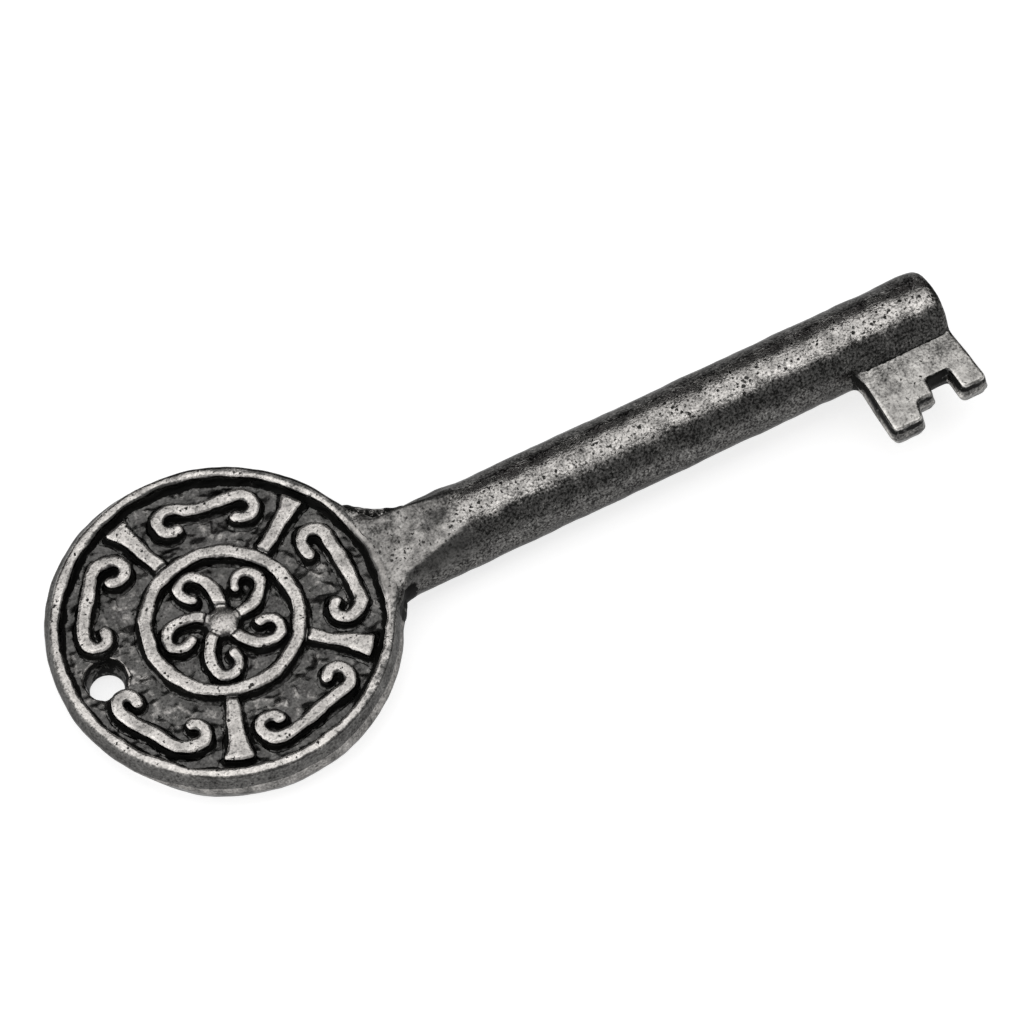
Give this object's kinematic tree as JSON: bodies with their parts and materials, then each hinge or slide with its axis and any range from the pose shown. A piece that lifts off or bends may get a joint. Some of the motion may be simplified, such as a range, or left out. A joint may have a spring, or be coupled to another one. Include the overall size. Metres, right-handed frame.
{
  "type": "cabinet key",
  "caption": "Cast metal cabinet key with a round scroll-relief bow, a round barrel stem with a wedge neck and a flat bit with ward cuts.",
  "frame": {"origin": "centre of the barrel bore's mouth, on the stem axis at the tip", "axes": "+X along the stem from bow to tip, +Y across the bow away from the bit, +Z out of the decorated face"},
  "size_m": [0.0755, 0.0269, 0.0066],
  "materials": {
    "cast_bow": "antiqued dark cast metal, black in the recesses",
    "worn_relief": "raised ornament rubbed to bare grey metal, finely pitted",
    "cast_stem": "dark cast metal, finely pitted, rubbed bright along its high lines"
  },
  "bodies": {
    "root": {"bow_plate": "cast_bow", "bow_rim": "worn_relief", "centre_ring": "worn_relief", "centre_boss": "worn_relief", "spoke_top_left": "worn_relief", "spoke_top_right": "worn_relief", "spoke_bottom_right": "worn_relief", "spoke_bottom_left": "worn_relief", "scroll_upper_left": "worn_relief", "scroll_top": "worn_relief", "scroll_neck": "worn_relief", "scroll_bottom": "worn_relief", "scroll_lower_left": "worn_relief", "whirl_arm_1": "worn_relief", "whirl_arm_2": "worn_relief", "whirl_arm_3": "worn_relief", "whirl_arm_4": "worn_relief", "whirl_arm_5": "worn_relief", "stem": "cast_stem", "bit": "cast_stem"}
  },
  "joints": []
}
